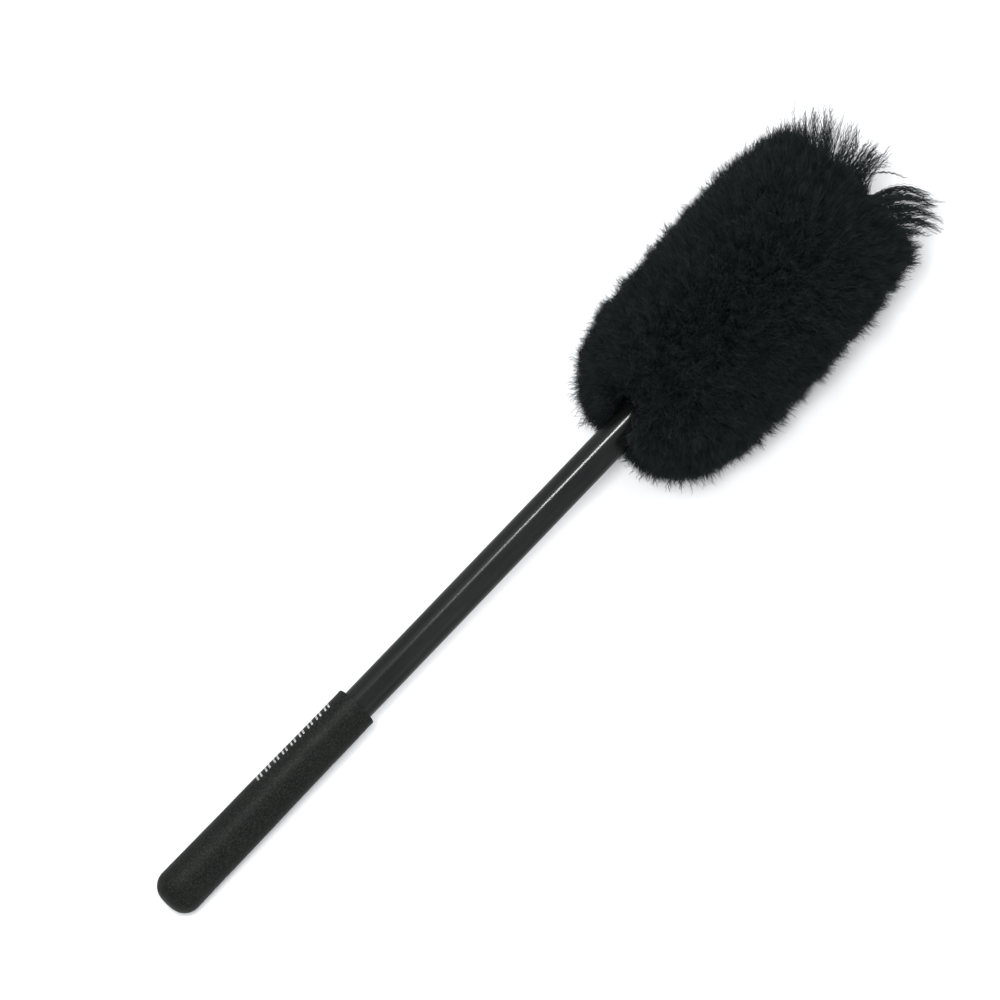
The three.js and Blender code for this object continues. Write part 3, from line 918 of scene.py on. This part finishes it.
def grow_tuft(start, bend, end, spread, height, strands):
    """One loose tuft at the tip, which fans out from its start over its bend to its end."""
    highest = TUFT_HEIGHT_LIMIT * height
    level = np.clip(rng.normal(0, height, strands), -highest, highest)
    across = np.linspace(-spread, spread, strands)
    places = []
    for place, fan in zip((start, bend, end), TUFT_FAN):
        flat = np.array(place) + GAP_LEAN * level[:, None]
        flat[:, 1] += across * fan
        places.append(np.concatenate([flat, level[:, None]], 1))
    places[0][:, 2] *= TUFT_ROOT_HEIGHT
    shorter = rng.random(strands) ** 2 * TUFT_SHORTFALL
    places[2] -= unit(places[2] - places[1]) * shorter[:, None]
    return grow_strands(*places)


WISP_SCATTER, WISP_GIVE = 1.0, 0.2


def grow_wisps(shape, stretch, reaches, count):
    """Long strands that stand out of the shorter wool all round one stretch of it."""
    distance = shape.total * rng.uniform(*stretch, count)
    root, end = shape.reach(distance, rng.uniform(0, 2 * math.pi, count))
    end = root + (end - root) * rng.uniform(*reaches, count)[:, None]
    end += rng.normal(0, WISP_SCATTER, (count, 3))
    bend = bend_points(root, end, np.linalg.norm(end - root, axis=1))
    wisps = grow_strands(root, bend, end)
    wisps.line = rest_on_floor(part_tip(wisps.line), WISP_GIVE)
    return wisps


def fibre_mesh(name, fibres, material):
    """Each centre line as a closed three-sided taper that ends in a point."""
    line = fibres.line
    count, rings = line.shape[0], line.shape[1] - 1
    reach = unit(line[:, -1] - line[:, 0])
    first = unit(np.cross(reach, rng.normal(size=(count, 3))))
    second = np.cross(reach, first)
    corner = 2 * math.pi * np.arange(FIBRE_SIDES) / FIBRE_SIDES
    spokes = np.cos(corner)[:, None] * first[:, None] + np.sin(corner)[:, None] * second[:, None]
    taper = np.linspace(1.0, 0.5, rings)
    radius = (fibres.thickness[:, None] * taper[None, :])[..., None, None]
    tube = line[:, :rings, None] + radius * spokes[:, None]
    points = np.concatenate([tube.reshape(count, -1, 3), line[:, -1:]], 1)
    first_points = (np.arange(count) * points.shape[1])[:, None, None]
    faces = (fibre_faces(rings)[None] + first_points).reshape(-1, 3)
    made = mesh_object(name, points.reshape(-1, 3), faces, material)
    tone = fibres.tone
    values = np.concatenate([np.repeat(tone[:, :rings], FIBRE_SIDES, 1), tone[:, -1:]], 1)
    attribute = made.data.attributes.new("tone", "FLOAT", "POINT")
    attribute.data.foreach_set("value", values.astype(np.float32).ravel())
    return made


def fibre_faces(rings):
    """Triangles of one fibre: walls, point and root cap."""
    triangles = []
    for ring in range(rings - 1):
        for side in range(FIBRE_SIDES):
            a, b = ring * FIBRE_SIDES + side, ring * FIBRE_SIDES + (side + 1) % FIBRE_SIDES
            triangles += [(a, b, b + FIBRE_SIDES), (a, b + FIBRE_SIDES, a + FIBRE_SIDES)]
    top, point = (rings - 1) * FIBRE_SIDES, rings * FIBRE_SIDES
    triangles += [(top + s, top + (s + 1) % FIBRE_SIDES, point) for s in range(FIBRE_SIDES)]
    triangles.append(tuple(range(FIBRE_SIDES - 1, -1, -1)))
    return np.array(triangles)


# Each band of the wool ends at this share of the way from base to tip
BANDS = (
    ("base", 0.19, END_RINGS),
    ("barrel_a", 0.34, BARREL_RINGS),
    ("barrel_b", 0.48, BARREL_RINGS),
    ("barrel_c", 0.62, BARREL_RINGS),
    ("barrel_d", 0.74, BARREL_RINGS),
    ("shoulder", 0.87, END_RINGS),
    ("tip", 1.01, END_RINGS),
)
QUARTERS = ("top", "left", "under", "right")


def make_wool(shape, material):
    """The pile in pieces, one for each band and quarter of the head, then tufts and wisps."""
    locks = Locks(shape, LOCKS)
    share = locks.distance / shape.total
    quarter = ((locks.angle + math.pi / 4) % (2 * math.pi) // (math.pi / 2)).astype(int)
    start = -0.01
    for band, end, rings in BANDS:
        for number, side in enumerate(QUARTERS):
            chosen = (share > start) & (share <= end) & (quarter == number)
            fibres = grow_pile(locks, chosen, rings)
            settle(fibre_mesh(f"wool_{band}_{side}", fibres, material), "wool", "wool_pile")
        start = end
    for number, settings in enumerate(TIP_TUFTS):
        tuft = fibre_mesh(f"wool_tuft_{number}", grow_tuft(*settings), material)
        settle(tuft, "wool", "wool_pile")
    for place, settings in WISPS.items():
        wisps = fibre_mesh(f"wool_wisps_{place}", grow_wisps(shape, *settings), material)
        settle(wisps, "wool", "wool_pile")


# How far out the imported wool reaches, as a share of the wool's length, and how much less
# at the tip and at the base
MASS_DEPTH, MASS_LESS_AT_TIP, MASS_LESS_AT_BASE = 0.60, 0.22, 0.2
MASS_START = 0.015
MASS_WAVELENGTH, MASS_UNEVENNESS = 5.0, 0.02
MASS_GIVE = 1.0
MASS_ROWS, MASS_SIDES = 64, 96


def make_wool_mass(shape, material):
    """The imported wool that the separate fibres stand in, from the hide out."""
    distance = np.repeat(np.linspace(0, shape.total, MASS_ROWS), MASS_SIDES)
    turn = np.linspace(0, 2 * math.pi, MASS_SIDES, endpoint=False)
    root, end = shape.reach(distance, np.tile(turn, MASS_ROWS))
    share = distance / shape.total
    depth = MASS_DEPTH - MASS_LESS_AT_TIP * smooth_step(share, 0.8, 0.93)
    depth -= MASS_LESS_AT_BASE * (1 - smooth_step(share, 0.02, 0.12))
    depth += MASS_UNEVENNESS * SmoothNoise(MASS_WAVELENGTH)(end)
    outer = rest_on_floor(root + (end - root) * depth[:, None], MASS_GIVE)
    inner = (root + (end - root) * MASS_START).reshape(MASS_ROWS, MASS_SIDES, 3)[::-1]
    loop = np.concatenate([outer, inner.reshape(-1, 3)])
    faces = ring_faces(2 * MASS_ROWS, MASS_SIDES)
    mass = mesh_object("wool_depth", loop, faces, material)
    tidy_mesh(mass, crease_degrees=180)
    settle(mass, "wool", "wool_pile")


# ---- Inner pieces, which keep their CAD shapes, and the floor ------------------------

FLOOR_SIZE = 12.0


def finish_inner_pieces():
    """Gives each CAD piece its material; the foam fills its place as padding."""
    nylon = simple_material(
        "black_nylon", srgb(26, 28, 28), srgb(36, 38, 38), 900.0, (0.42, 0.55), 0.00005
    )
    steel = simple_material(
        "spring_steel", srgb(150, 152, 155), srgb(180, 182, 184), 1500.0, (0.28, 0.42), 0.00002,
        stretch=(1.0, 0.05, 1.0), Metallic=1.0,
    )
    foam = simple_material(
        "core_foam", srgb(34, 34, 36), srgb(70, 70, 73), 1600.0, (0.85, 0.98), 0.0004
    )
    hide = simple_material(
        "dyed_hide", srgb(28, 26, 24), srgb(46, 42, 38), 700.0, (0.6, 0.85), 0.0002
    )
    thread = simple_material(
        "waxed_thread", srgb(20, 20, 21), srgb(38, 38, 40), 2600.0, (0.5, 0.7), 0.0001,
        stretch=(1.0, 0.3, 0.3),
    )
    chosen = {
        "butt_plug": nylon,
        "tip_plug": nylon,
        "base_collar": nylon,
        "tip_collar": nylon,
        "base_pin": steel,
        "tip_pin": steel,
        "foam_core": foam,
        "hide_sleeve": hide,
        "side_seam_thread": thread,
        "tip_seam_thread": thread,
        "hem_binding_cord": thread,
    }
    for name, material in chosen.items():
        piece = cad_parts[name]
        piece.data.materials.clear()
        piece.data.materials.append(material)


def make_floor():
    bpy.ops.mesh.primitive_plane_add(size=FLOOR_SIZE, location=(0.0, 0.0, 0.0))
    floor = bpy.context.object
    floor.name = "floor"
    floor.data.materials.append(floor_material())


make_camera()
make_lights()
make_floor()
make_grip(vinyl_material())
make_tube(tube_material())
make_print(ink_material())
pile = PileShape()
make_wool(pile, wool_material())
make_wool_mass(pile, wool_mass_material())
finish_inner_pieces()
